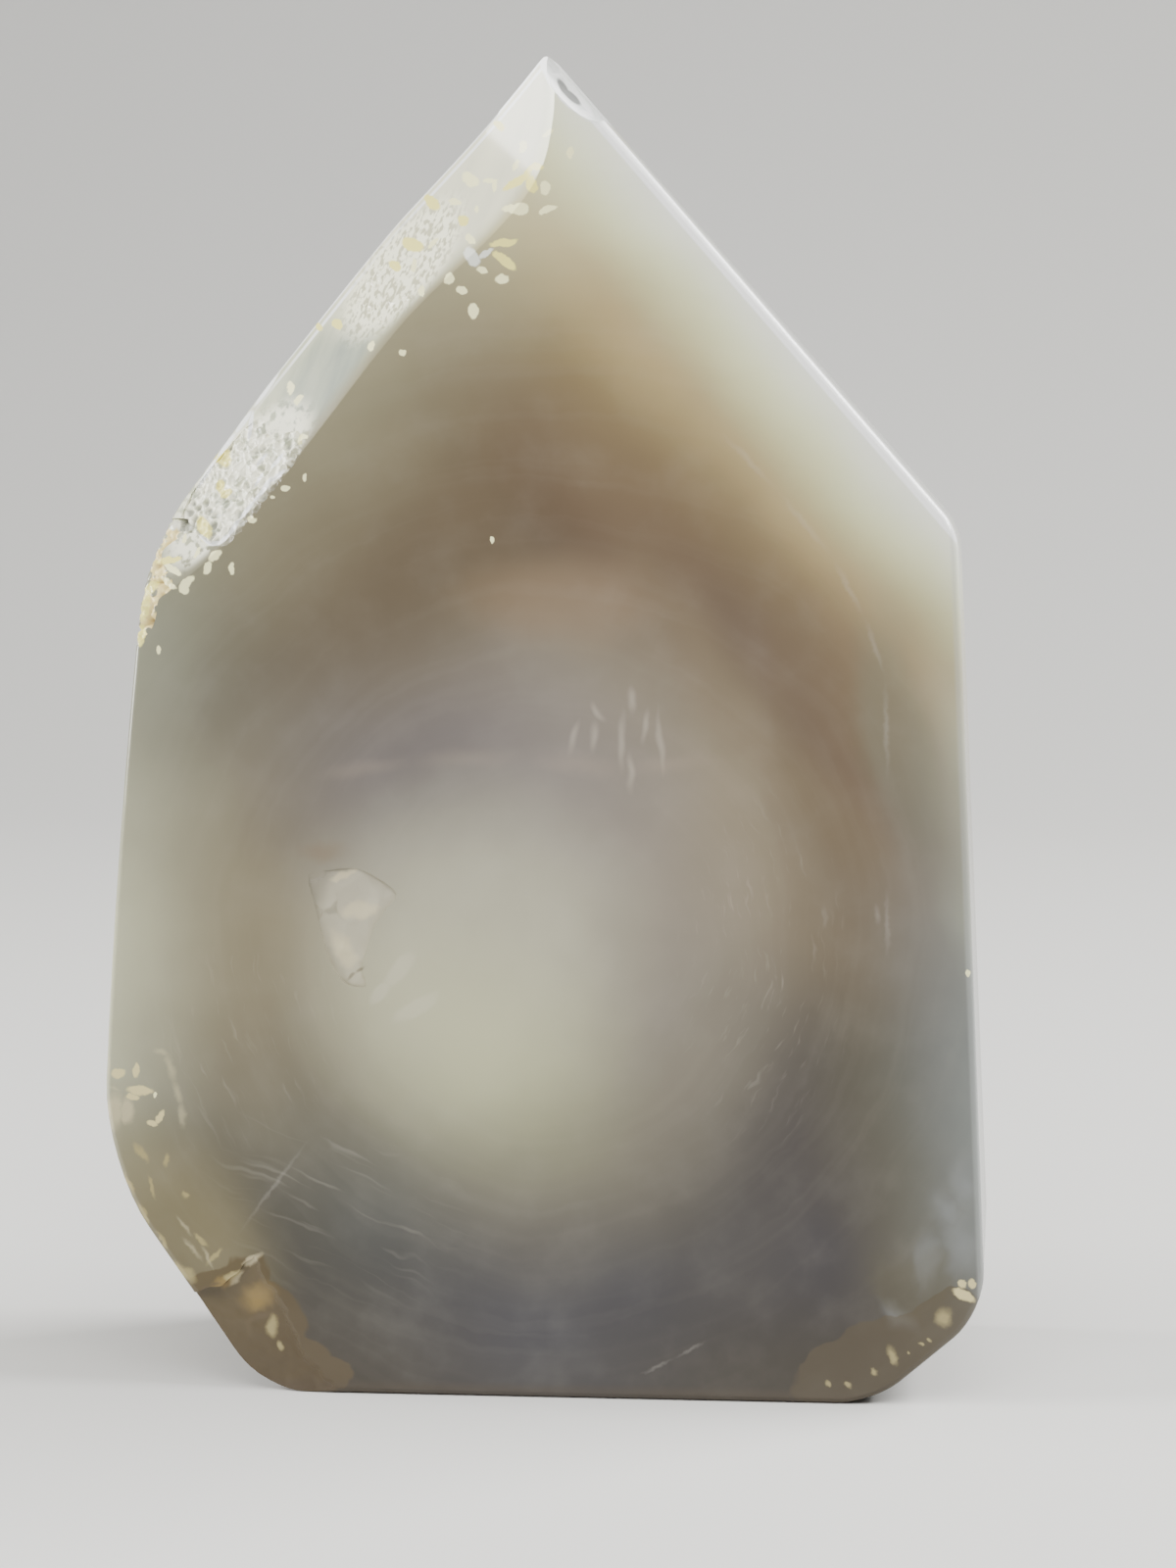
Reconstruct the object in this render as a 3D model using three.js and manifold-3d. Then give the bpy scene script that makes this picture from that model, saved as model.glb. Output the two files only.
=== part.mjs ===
// A polished agate point that stands on a flat sawn base. It is one natural stone, 110 mm tall.
// Units are millimetres and +Z is up. The show face looks along -Y, with +X to its right.
// The origin is on the table, under the middle of the stone.
import * as THREE from "three";
import { LoftGeometry } from "three/addons/geometries/LoftGeometry.js";
import { mergeVertices } from "three/addons/utils/BufferGeometryUtils.js";
import Module from "manifold-3d";

const wasm = await Module();
wasm.setup();

const rad = THREE.MathUtils.degToRad;

// Driving dimensions of the ground blank
const HEIGHT = 110;
const HALF_WIDTH = 36.5;
const BASE_DEPTH = 28;
const FRONT_LEAN = rad(6); // the show face leans back
const BACK_LEAN = rad(4.5); // the back face leans forward, so the stone thins towards its tip
const SIDE_FLARE = rad(1.3); // the right side opens a little towards the back, most at its foot
const ARRIS = 0.5; // the narrow polished break along every edge
const ROUND_STEPS = 6; // straight pieces in each rounded corner

// The wide bevel along the upper left edge
const BEVEL_SLOPE = rad(33); // measured from the show face
const BEVEL_REACH = 12; // how far its grinding ran, past the edge of the stone
const BEVEL_STATIONS = 26;

// Cells that the polish opened in the bevel
const CELL_SPACING = 1.15;
const CELL_RADIUS = 0.48;
const CELL_DEPTH = 0.22;
const CELL_SIDES = 6;
const CELL_MOUTH = 1.5; // how wide its cutter opens, well above the bevel, as a share of the radius
const CELL_FLOOR = 0.6;
const CELL_SCATTER = 0.35; // unevenness of size and place, as a share
const CELLS_FROM_EDGE = 1.3;
const CELLS_WIDTH = 4.6;
const CELL_STRETCHES = [
  { from: 0.17, to: 0.36 }, // as shares of the bevel's inner edge
  { from: 0.53, to: 0.7 },
];

// Natural skin left at the left shoulder
const SKIN_RUN = 17; // how far back it reaches from the show face
const SKIN_LUMP = { size: 0.42, along: 1.9, back: 1.3 }; // waves along its path and towards the back
const SKIN_FINE_LUMP = { size: 0.3, along: 3.1, back: -2.2 };
const SKIN_RUNOUT = 2.4; // how far its cut swings clear of the stone at the back

// Ledge at the lower left, where a thin flake is gone below a line that climbs to the right
const LEDGE_STEP = 0.7;
const LEDGE_RUN = 8; // how far it takes to come level with the face again
const LEDGE = [
  { x: -31.1, z: 7.2, share: 1 },
  { x: -27.5, z: 8.5, share: 1 },
  { x: -25.5, z: 9.9, share: 0.8 },
  { x: -23.5, z: 11.7, share: 0.4 },
  { x: -22.5, z: 12.1, share: 0.1 },
];

// Flake gone from the show face, as x and z of its corners. Its floor dips towards the base.
const FLAKE = [
  [-19.5, 42.8],
  [-15.6, 43.4],
  [-12.1, 41.3],
  [-14, 38.6],
  [-14.6, 34.2],
  [-16.6, 34],
  [-18.9, 39.6],
];
const FLAKE_STEPS = 28;
const FLAKE_TOP_DEPTH = 0.08;
const FLAKE_DIP = rad(3);

// Chip along the right-hand edge just below the tip, a dish with these half sizes
const TIP_CHIP = { x: 1.9, z: 107.1, length: 4, width: 1.5, depth: 1.3, turn: rad(49) };

const CLEAR = 3; // how far a cutter stands clear of the stone

// The faces that the stone was ground to: y of the show face and of the back face at height z
const frontY = (z) => -BASE_DEPTH / 2 + z * Math.tan(FRONT_LEAN);
const backY = (z) => BASE_DEPTH / 2 - z * Math.tan(BACK_LEAN);

// A point of the stone, from its x and z on the show face and its depth behind that face
const behindFace = (x, z, depth) => new THREE.Vector3(x, frontY(z) + depth, z);

// Repeatable unevenness between -1 and 1
const uneven = (i, j) => Math.sin(7.3 * i + 4.1 * j);

// Outline of the show face, as x and z, anticlockwise as seen from the front
const outline = new THREE.Shape();
outline.moveTo(-19.7, 0);
outline.lineTo(24.3, 0);
outline.quadraticCurveTo(27.3, 0, 29.5, 1.9); // lower right corner: a ground chamfer with soft ends
outline.lineTo(34, 5.6);
outline.quadraticCurveTo(36.2, 7.6, 36.1, 11.2);
outline.lineTo(33.5, 69.4); // right shoulder
outline.quadraticCurveTo(33.5, 70.9, 32.2, 72.4);
outline.lineTo(0.4, HEIGHT - 1.2); // straight slope up to the tip
outline.quadraticCurveTo(-0.3, HEIGHT, -1.1, HEIGHT - 1.2);
outline.lineTo(-13.1, 96); // the left slope was ground in three passes
outline.lineTo(-24.4, 82);
outline.lineTo(-31.3, 72.5);
outline.quadraticCurveTo(-33.2, 69.9, -33.7, 65); // left shoulder, where the natural skin is left
outline.quadraticCurveTo(-35.8, 45, -HALF_WIDTH, 26);
outline.quadraticCurveTo(-36.6, 18.6, -33.1, 13.8); // lower left corner
outline.lineTo(-28.8, 8.2);
outline.lineTo(-25.3, 3);
outline.quadraticCurveTo(-23.3, 0, -19.7, 0);

// Inner edge of the wide bevel on the show face, as x and z. It wanders, because it was ground by hand,
// and near the tip it turns upright.
const bevelEdge = new THREE.SplineCurve([
  new THREE.Vector2(-36.9, 62),
  new THREE.Vector2(-28.9, 68.3),
  new THREE.Vector2(-21.2, 76.6),
  new THREE.Vector2(-11.9, 87.6),
  new THREE.Vector2(-4.2, 95.1),
  new THREE.Vector2(-0.9, 99.4),
  new THREE.Vector2(0.3, 103.8),
  new THREE.Vector2(0.5, 107.9),
  new THREE.Vector2(0.6, 113),
]);
const bevelOut = new THREE.Vector2(-0.769, 0.639); // across the bevel, from its inner edge outwards

// Path of the natural skin along the left shoulder, as x and z
const skinPath = new THREE.QuadraticBezierCurve(
  new THREE.Vector2(-36.5, 58),
  new THREE.Vector2(-33.5, 67),
  new THREE.Vector2(-30.7, 76),
);

// Turns a closed geometry into a solid that can be cut
function solid(geometry) {
  const bare = new THREE.BufferGeometry();
  bare.setAttribute("position", geometry.getAttribute("position"));
  bare.setIndex(geometry.getIndex());
  const { attributes, index } = mergeVertices(bare, 1e-4);
  const vertProperties = attributes.position.array;
  const triVerts = new Uint32Array(index.array);
  const made = new wasm.Manifold(new wasm.Mesh({ numProp: 3, vertProperties, triVerts }));
  if (made.volume() <= 0) throw new Error("this piece is inside out");
  return made;
}

// A solid skinned over closed sections
const loft = (sections) => solid(new LoftGeometry(sections, { capStart: true, capEnd: true }));

// Moves a closed outline inwards by a distance, corner by corner
function inset(points, distance) {
  return points.map((point, i) => {
    const before = points[(i + points.length - 1) % points.length];
    const after = points[(i + 1) % points.length];
    const arriving = point.clone().sub(before).normalize();
    const leaving = after.clone().sub(point).normalize();
    const inwards = new THREE.Vector2(-arriving.y - leaving.y, arriving.x + leaving.x);
    return point.clone().addScaledVector(inwards, (2 * distance) / inwards.lengthSq());
  });
}

// The ground blank: the outline carried from the back face to the show face, with every edge broken
function blank() {
  const full = outline.getPoints(ROUND_STEPS).slice(0, -1);
  const narrow = inset(full, ARRIS);
  const place = (points, yAt) =>
    points.map(({ x, y: z }) => {
      const y = yAt(z);
      const rightwards = Math.max(x, 0) / HALF_WIDTH;
      const opening = rightwards * (1 - z / HEIGHT) * Math.tan(SIDE_FLARE) * (y - frontY(z));
      return new THREE.Vector3(x + opening, y, z);
    });
  return loft([
    place(narrow, backY),
    place(full, (z) => backY(z) - ARRIS),
    place(full, (z) => frontY(z) + ARRIS),
    place(narrow, frontY),
  ]);
}

// A point of the wide bevel: a share of the way along its inner edge, and so far out from that edge
function onBevel(along, out) {
  const { x, y: z } = bevelEdge.getPointAt(along).addScaledVector(bevelOut, out);
  return behindFace(x, z, out * Math.tan(BEVEL_SLOPE));
}

function bevelCutter() {
  const sections = [];
  for (let station = 0; station <= BEVEL_STATIONS; station++) {
    const inner = onBevel(station / BEVEL_STATIONS, 0);
    const outer = onBevel(station / BEVEL_STATIONS, BEVEL_REACH);
    const outerFront = behindFace(outer.x, outer.z, -CLEAR);
    const innerFront = behindFace(inner.x, inner.z, -CLEAR);
    sections.push([inner, outer, outerFront, innerFront]);
  }
  return loft(sections);
}

// The opened cells: shallow six-sided pits in staggered rows, uneven in size and place
function cellCutters() {
  const facing = new THREE.Vector3(
    bevelOut.x * Math.sin(BEVEL_SLOPE),
    -Math.cos(BEVEL_SLOPE),
    bevelOut.y * Math.sin(BEVEL_SLOPE),
  );
  const turn = new THREE.Quaternion().setFromUnitVectors(new THREE.Vector3(0, 1, 0), facing);
  const step = CELL_SPACING / bevelEdge.getLength();
  const rows = Math.floor(CELLS_WIDTH / CELL_SPACING);
  const cutters = [];
  for (const { from, to } of CELL_STRETCHES) {
    const columns = Math.floor((to - from) / step);
    for (let column = 0; column < columns; column++) {
      for (let row = 0; row <= rows; row++) {
        const stagger = (row % 2) / 2 + CELL_SCATTER * uneven(column, row);
        const drift = CELL_SCATTER * uneven(row, -column);
        const radius = CELL_RADIUS * (1 + drift);
        const out = CELLS_FROM_EDGE + (row + drift) * CELL_SPACING;
        const middle = onBevel(from + (column + stagger) * step, out);
        const mouth = CELL_MOUTH * radius;
        const pit = new THREE.CylinderGeometry(mouth, CELL_FLOOR * radius, 4 * CELL_DEPTH, CELL_SIDES);
        pit.translate(0, CELL_DEPTH, 0); // its floor comes to lie at the cell's depth
        pit.applyQuaternion(turn);
        pit.translate(middle.x, middle.y, middle.z);
        cutters.push(solid(pit));
      }
    }
  }
  return cutters;
}

// The natural skin at the left shoulder: grinding stopped short of it, so the corner stays lumpy
function skinCutter() {
  const STEPS = 14;
  const SLICES = 12;
  const OUTSIDE = -HALF_WIDTH - CLEAR;
  const sections = [];
  for (let slice = SLICES; slice >= 0; slice--) {
    const behind = -CLEAR + ((SKIN_RUN + CLEAR) * slice) / SLICES;
    const runout = SKIN_RUNOUT * Math.max(0, behind / SKIN_RUN) ** 3;
    const inner = skinPath.getPoints(STEPS).map(({ x, y: z }, i) => {
      const lumps = [SKIN_LUMP, SKIN_FINE_LUMP].map(
        ({ size, along, back }) => size * Math.sin(along * i + back * slice),
      );
      return behindFace(x + lumps[0] + lumps[1] - runout, z, behind);
    });
    const foot = inner[0].clone().setX(OUTSIDE);
    const top = inner[STEPS].clone().setX(OUTSIDE);
    sections.push([...inner, top, foot]);
  }
  return loft(sections);
}

function ledgeCutter() {
  const down = new THREE.Vector2(0.53, -0.85); // from its line towards the base
  const sections = LEDGE.map(({ x, z, share }) => {
    const far = new THREE.Vector2(x, z).addScaledVector(down, LEDGE_RUN * share);
    return [
      behindFace(x, z, LEDGE_STEP * share),
      behindFace(x, z, -CLEAR),
      behindFace(far.x, far.y, -CLEAR),
      behindFace(far.x, far.y, 0),
    ];
  });
  return loft(sections);
}

// The flake gone from the show face: a thin piece with a smooth outline and a sloping floor
function flakeCutter() {
  const corners = FLAKE.map(([x, z]) => new THREE.Vector2(x, z));
  const edge = new THREE.SplineCurve([...corners, corners[0]]).getPoints(FLAKE_STEPS).slice(0, -1);
  const top = Math.max(...edge.map(({ y: z }) => z));
  const floorDepth = (z) => FLAKE_TOP_DEPTH + (top - z) * Math.tan(FLAKE_DIP);
  return loft([
    edge.map(({ x, y: z }) => behindFace(x, z, -CLEAR)),
    edge.map(({ x, y: z }) => behindFace(x, z, floorDepth(z))),
  ]);
}

function tipChipCutter() {
  const { x, z, length, width, depth, turn } = TIP_CHIP;
  const dish = new THREE.IcosahedronGeometry(1, 3);
  dish.scale(length, depth, width);
  dish.rotateY(turn);
  const middle = behindFace(x, z, 0);
  dish.translate(middle.x, middle.y, middle.z);
  return solid(dish);
}

function agateSlice() {
  const cutters = [
    bevelCutter(),
    ...cellCutters(),
    skinCutter(),
    ledgeCutter(),
    flakeCutter(),
    tipChipCutter(),
  ];
  const cut = cutters.reduce((stone, cutter) => stone.subtract(cutter), blank()).getMesh();
  const geometry = new THREE.BufferGeometry();
  geometry.setAttribute("position", new THREE.BufferAttribute(cut.vertProperties, 3));
  geometry.setIndex(new THREE.BufferAttribute(cut.triVerts, 1));
  geometry.computeVertexNormals();
  const polished = new THREE.MeshStandardMaterial({ color: 0x9d9484, roughness: 0.12, metalness: 0 });
  const mesh = new THREE.Mesh(geometry, polished);
  mesh.name = "agate_slice";
  return mesh;
}

const stone = new THREE.Group();
stone.add(agateSlice());

export default stone;
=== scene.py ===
# %% [markdown]
# A polished agate point. It was sawn out of an agate nodule as a block, ground to flat faces and
# polished, and it stands on its sawn foot. The lesson keeps that order: the block, the broken edges,
# the wide bevel, and then the small damage. The colours come last, as one material, because in the
# real stone they run right through it.

# %% Load the measured model
import math

import bpy
from mathutils import Matrix, Vector


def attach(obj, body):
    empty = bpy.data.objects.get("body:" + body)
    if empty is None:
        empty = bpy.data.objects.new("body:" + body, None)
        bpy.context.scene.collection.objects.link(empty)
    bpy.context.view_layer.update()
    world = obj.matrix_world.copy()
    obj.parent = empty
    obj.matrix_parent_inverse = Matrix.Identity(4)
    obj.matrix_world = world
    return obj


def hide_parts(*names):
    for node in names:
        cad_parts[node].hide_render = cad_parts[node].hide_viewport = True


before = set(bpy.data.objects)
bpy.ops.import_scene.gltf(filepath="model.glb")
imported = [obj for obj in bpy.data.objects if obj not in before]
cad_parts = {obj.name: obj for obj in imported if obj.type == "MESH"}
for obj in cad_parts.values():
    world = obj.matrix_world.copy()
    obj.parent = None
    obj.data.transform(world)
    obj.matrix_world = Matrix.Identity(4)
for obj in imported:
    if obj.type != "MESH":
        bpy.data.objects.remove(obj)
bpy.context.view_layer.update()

MM = 0.001

# %% [markdown]
# The camera comes before the stone, because small marks are placed by where the photograph shows
# them. It stands low and a little to the right, as in the photograph. The reference frame is 1200
# by 1600 pixels, and a ray through one of its pixels can be followed to any flat surface.

# %% The camera
FRAME_WIDTH, FRAME_HEIGHT = 1200, 1600
SENSOR = 36
LENS = 89.76
AIM = Vector((3.61, -8.74, 50.05)) * MM
DISTANCE = 320 * MM
AZIMUTH = math.radians(5.5)
ELEVATION = math.radians(6)
ROLL = math.radians(-0.196)

towards_camera = Vector((
    math.sin(AZIMUTH) * math.cos(ELEVATION),
    -math.cos(AZIMUTH) * math.cos(ELEVATION),
    math.sin(ELEVATION),
))
turned = towards_camera.to_track_quat("Z", "Y").to_matrix().to_4x4() @ Matrix.Rotation(ROLL, 4, "Z")
camera_place = Matrix.Translation(AIM + towards_camera * DISTANCE) @ turned

bpy.ops.object.camera_add()
camera = bpy.context.object
camera.name = "camera"
camera.matrix_world = camera_place
camera.data.lens = LENS
camera.data.sensor_width = SENSOR
camera.data.clip_start = 0.01
bpy.context.scene.camera = camera
print("camera at, mm:", [round(c / MM, 1) for c in camera.location])


def seen_on(pixel, surface):
    """Where the camera sees a pixel of the frame on a flat surface, in that surface's millimetres."""
    pixels_per_unit = LENS / SENSOR * FRAME_HEIGHT
    right = (pixel[0] - FRAME_WIDTH / 2) / pixels_per_unit
    up = (FRAME_HEIGHT / 2 - pixel[1]) / pixels_per_unit
    into = surface.inverted()
    eye = into @ camera_place.translation
    ray = into.to_3x3() @ (camera_place.to_3x3() @ Vector((right, up, -1)))
    return eye - ray * (eye.z / ray.z)


# %% [markdown]
# The faces that the stone was ground to. The show face leans back and the back leans forward, so
# the stone thins towards its tip. A surface is held as a matrix: X and Y lie in it, Z points out
# of the stone, and one unit is a millimetre.

# %% The faces
HEIGHT = 110
BASE_DEPTH = 28
FRONT_LEAN = math.radians(6)
BACK_LEAN = math.radians(4.5)
BEVEL_SLOPE = math.radians(33)
BEVEL_OUT = Vector((-0.769, 0, 0.639))  # the way that the wide bevel falls away, seen from the front


def front_y(z):
    return -BASE_DEPTH / 2 + z * math.tan(FRONT_LEAN)


def back_y(z):
    return BASE_DEPTH / 2 - z * math.tan(BACK_LEAN)


def behind_face(x, z, depth=0):
    """A point given by its place on the show face and its depth behind it, all in millimetres."""
    return Vector((x, front_y(z) + depth, z))


def surface_at(origin, along, across):
    """A flat surface through a point in millimetres, with along as its X and across near its Y."""
    along = along.normalized()
    out = along.cross(across).normalized()
    across = out.cross(along)
    axes = Matrix((along, across, out)).transposed().to_4x4()
    return Matrix.Translation(origin * MM) @ axes @ Matrix.Scale(MM, 4)


def looks_to(surface):
    """The direction that a surface faces."""
    return (surface.to_3x3() @ Vector((0, 0, 1))).normalized()


def on_front(x, z):
    """A direction in the show face that runs x to the right and z up."""
    return Vector((x, z * math.tan(FRONT_LEAN), z))


BEVEL_INNER = behind_face(-20.85, 76.3)  # a point of the wide bevel's inner edge
bevel_along = on_front(BEVEL_OUT.z, -BEVEL_OUT.x)
bevel_across = on_front(BEVEL_OUT.x, BEVEL_OUT.z) + Vector((0, math.tan(BEVEL_SLOPE), 0))

show_face = surface_at(behind_face(0, 0), on_front(1, 0), on_front(0, 1))
bevel_face = surface_at(BEVEL_INNER, bevel_along, bevel_across)


def seen_on_stone(pixel):
    """Where the camera sees a pixel on the show face or on the wide bevel, in millimetres."""
    spots = [surface @ seen_on(pixel, surface) for surface in (show_face, bevel_face)]
    return max(spots, key=lambda spot: (spot - camera_place.translation).length) / MM


print("show face looks to", [round(c, 3) for c in looks_to(show_face)])
print("bevel looks to", [round(c, 3) for c in looks_to(bevel_face)])

# %% [markdown]
# The block starts as a cube of the stone's outer size. Each ground side takes one bisect, which
# drops what lies outside and closes the cut, as a saw does. That leaves true planes, and a polished
# stone needs them, because a reflection shows every dent. The corners are then rounded by bevelling
# the edge between two sides.

# %% Saw the block
SIDE_FLARE = 0.014  # how much the right side opens for each millimetre towards the back

# Corners of the show face, from the lower left against the clock: x, z and how far it is rounded
CORNERS = [
    (-23.1, 0, 3.6), (27.2, 0, 2.9), (36.25, 7.55, 3.3), (33.5, 70.9, 1.7), (-0.3, 109.62, 0.6),
    (-13.1, 96, 1.5), (-24.4, 82, 1.5), (-33.2, 69.9, 4), (-35.8, 45, 19), (-36.6, 18.6, 6.6),
]
RIGHT_SIDE = 2  # the side that starts at this corner is the flared one
BLOCK_WIDTH = 80


def select_only(piece):
    """Makes one piece the only selected and the active one."""
    if bpy.context.mode != "OBJECT":
        bpy.ops.object.mode_set(mode="OBJECT")
    bpy.ops.object.select_all(action="DESELECT")
    piece.select_set(True)
    bpy.context.view_layer.objects.active = piece


def apply_place(piece):
    """Moves a piece's place, turn and size into its mesh."""
    select_only(piece)
    bpy.ops.object.transform_apply(location=True, rotation=True, scale=True)


def saw(through, outwards):
    """Cuts off what lies outwards of a plane and closes the cut. It works in edit mode."""
    bpy.ops.mesh.select_all(action="SELECT")
    outwards = outwards.normalized()
    bpy.ops.mesh.bisect(plane_co=through * MM, plane_no=outwards, use_fill=True, clear_outer=True)


bpy.ops.object.select_all(action="DESELECT")
bpy.ops.mesh.primitive_cube_add(size=1, location=(0, 0, HEIGHT / 2 * MM))
stone = bpy.context.object
stone.name = "polished_stone"
stone.dimensions = (BLOCK_WIDTH * MM, BASE_DEPTH * MM, HEIGHT * MM)
apply_place(stone)

bpy.ops.object.mode_set(mode="EDIT")
saw(behind_face(0, 0), Vector((0, -1, math.tan(FRONT_LEAN))))
saw(Vector((0, BASE_DEPTH / 2, 0)), Vector((0, 1, math.tan(BACK_LEAN))))
for number, (x, z, _) in enumerate(CORNERS):
    next_x, next_z, _ = CORNERS[(number + 1) % len(CORNERS)]
    backwards = Vector((SIDE_FLARE if number == RIGHT_SIDE else 0, 1, 0))
    if number > 0:  # the first side is the sawn foot, which the cube has already
        saw(behind_face(x, z), backwards.cross(Vector((next_x - x, 0, next_z - z))))
bpy.ops.object.mode_set(mode="OBJECT")
print("sawn block:", len(stone.data.polygons), "faces,",
      [round(side / MM, 1) for side in stone.dimensions], "mm")

# %% Round the corners and break the edges
ARRIS = 0.5  # the narrow polished break along every edge
ROUNDING_STEPS = 8
ARRIS_STEPS = 3


def select_edges(piece, wanted):
    """Goes to edit mode with only those edges selected that wanted picks, by an edge's two ends in
    millimetres and by the normals of the faces beside it."""
    select_only(piece)
    bpy.ops.object.mode_set(mode="EDIT")
    bpy.ops.mesh.select_mode(type="EDGE")
    bpy.ops.mesh.select_all(action="DESELECT")
    bpy.ops.object.mode_set(mode="OBJECT")
    beside = {}
    for face in piece.data.polygons:
        for edge in face.edge_keys:
            beside.setdefault(edge, []).append(face.normal)
    found = 0
    for edge in piece.data.edges:
        ends = [piece.data.vertices[end].co / MM for end in edge.vertices]
        edge.select = wanted(ends, beside[edge.key])
        found += edge.select
    bpy.ops.object.mode_set(mode="EDIT")
    return found


def round_edges(piece, wanted, reach, steps, **settings):
    """Bevels the edges of a piece that wanted picks, and gives back how many they are."""
    found = select_edges(piece, wanted)
    bpy.ops.mesh.bevel(offset=reach, segments=steps, **settings)
    bpy.ops.object.mode_set(mode="OBJECT")
    return found


def runs_back_at(x, z):
    """A test for the edge that runs from front to back at one corner of the outline."""
    def test(ends, _):
        near = all(abs(end.x - x) < 0.8 and abs(end.z - z) < 0.4 for end in ends)
        return near and abs(ends[0].y - ends[1].y) > 4
    return test


def on_front_or_back(ends, _):
    """True for an edge that lies in the show face or in the back face."""
    return any(all(abs(end.y - y_at(end.z)) < 0.02 for end in ends) for y_at in (front_y, back_y))


for x, z, reach in CORNERS:
    found = round_edges(stone, runs_back_at(x, z), reach * MM, ROUNDING_STEPS)
    print("corner", (x, z), "edges rounded:", found)
found = round_edges(stone, on_front_or_back, ARRIS * MM, ARRIS_STEPS)
print("edges broken:", found, "now", len(stone.data.polygons), "faces")

# %% [markdown]
# The wide bevel along the upper left edge was ground freehand, so its inner edge wanders, and near
# the tip it turns upright. A row of bisects can't make a hollow curve. The stone is cut with a tool
# instead: the bevel's cross-section, extruded step by step along the inner edge. Its inner corner
# is a little round, as on any stone that is held by hand.

# %% Grind the wide bevel
BEVEL_REACH = 12
BEVEL_KNEE = 0.35  # how far the soft inner corner reaches
CLEAR = 3  # how far the tool stands out of the show face
BEVEL_STEPS = 12  # extrusions between two of the points below

# Inner edge of the wide bevel on the show face, as x and z
BEVEL_EDGE = [
    (-36.9, 62), (-28.4, 67.9), (-20.85, 76.3), (-11.9, 87.6), (-4.2, 95.1),
    (-0.9, 99.4), (0.3, 103.8), (0.5, 107.9), (0.6, 113),
]


def smooth_through(points, steps, closed=False):
    """A smooth curve through points: each stretch is bent by the points before and after it."""
    count = len(points)
    made = []
    for i in range(count if closed else count - 1):
        around = [i - 1, i, i + 1, i + 2]
        if not closed:
            around = [min(max(j, 0), count - 1) for j in around]
        before, start, end, after = (Vector(points[j % count]) for j in around)
        for step in range(steps):
            t = step / steps
            made.append(0.5 * (
                2 * start
                + (end - before) * t
                + (2 * before - 5 * start + 4 * end - after) * t ** 2
                + (3 * start - before - 3 * end + after) * t ** 3
            ))
    return made if closed else [*made, Vector(points[-1])]


def add_outline(name, points):
    """A filled face with its corners at the given places: a circle primitive, opened out to them."""
    bpy.ops.object.select_all(action="DESELECT")
    bpy.ops.mesh.primitive_circle_add(vertices=len(points), radius=1, fill_type="NGON")
    outline = bpy.context.object
    outline.name = name
    for corner, place in zip(outline.data.vertices, points):
        corner.co = place
    return outline


def open_edges(piece):
    """How many edges don't have exactly two faces. A closed piece has none."""
    faces_at = {}
    for face in piece.data.polygons:
        for edge in face.edge_keys:
            faces_at[edge] = faces_at.get(edge, 0) + 1
    return sum(count != 2 for count in faces_at.values())


def apply_modifier(piece, kind, **settings):
    """Adds a modifier with its settings to a piece and applies it."""
    select_only(piece)
    bpy.ops.object.modifier_add(type=kind)
    modifier = piece.modifiers[-1]
    for name, value in settings.items():
        setattr(modifier, name, value)
    bpy.ops.object.modifier_apply(modifier=modifier.name)


def cut_with(piece, tool, operation="DIFFERENCE"):
    """Cuts a piece with a tool by a Boolean modifier and puts the tool away."""
    apply_modifier(piece, "BOOLEAN", operation=operation, solver="MANIFOLD", object=tool)
    print(piece.name, "after", operation.lower(), "with", tool.name + ":",
          len(piece.data.polygons), "faces,", open_edges(piece), "open edges")
    bpy.data.objects.remove(tool)


def extrude_by(piece, moves):
    """Extrudes a sheet by one move after another, so that it becomes a closed block."""
    select_only(piece)
    bpy.ops.object.mode_set(mode="EDIT")
    bpy.ops.mesh.select_all(action="SELECT")
    for move in moves:
        bpy.ops.mesh.extrude_region_move(TRANSFORM_OT_translate={"value": move})
    bpy.ops.mesh.select_all(action="SELECT")
    bpy.ops.mesh.normals_make_consistent(inside=False)
    bpy.ops.object.mode_set(mode="OBJECT")


def bevel_section(x, z):
    """The tool's cross-section at a point of the inner edge, out to past the side of the stone."""
    slope = math.tan(BEVEL_SLOPE)
    floor = [0, 0.15, 0.35, 0.7, 1.2, BEVEL_REACH]
    section = []
    for out in floor:
        depth = slope * (math.hypot(out, BEVEL_KNEE) - BEVEL_KNEE * math.exp(-out / BEVEL_KNEE))
        section.append(behind_face(x + BEVEL_OUT.x * out, z + BEVEL_OUT.z * out, depth))
    for out in (BEVEL_REACH, 0):
        section.append(behind_face(x + BEVEL_OUT.x * out, z + BEVEL_OUT.z * out, -CLEAR))
    return [corner * MM for corner in section]


bevel_path = [behind_face(x, z) for x, z in smooth_through(BEVEL_EDGE, BEVEL_STEPS)]
bevel_tool = add_outline("bevel_tool", bevel_section(*bevel_path[0].xz))
extrude_by(bevel_tool, [(there - here) * MM for here, there in zip(bevel_path, bevel_path[1:])])
cut_with(stone, bevel_tool)

# %% Break the bevel's outer edge
def outside_bevel(_, normals):
    """True for an edge between the wide bevel and one of the upper left sides."""
    side, bevel = sorted(normals, key=looks_to(bevel_face).dot)
    return bevel.dot(looks_to(bevel_face)) > 0.97 and abs(side.y) < 0.05 and side.x < -0.5


found = round_edges(stone, outside_bevel, ARRIS * MM, 2, offset_type="WIDTH", clamp_overlap=False)
print("edges broken:", found, "open edges:", open_edges(stone))

# %% [markdown]
# Small damage. The polish opened cells in two stretches of the bevel, natural skin is left at the
# left shoulder, and chips are gone from the tip, the face and the lower left. Each is a shallow
# hollow with a crisp outline and a rough floor. The tool for one is a fine grid, displaced by
# procedural textures and thickened outwards, and kept only inside the outline.

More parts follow.
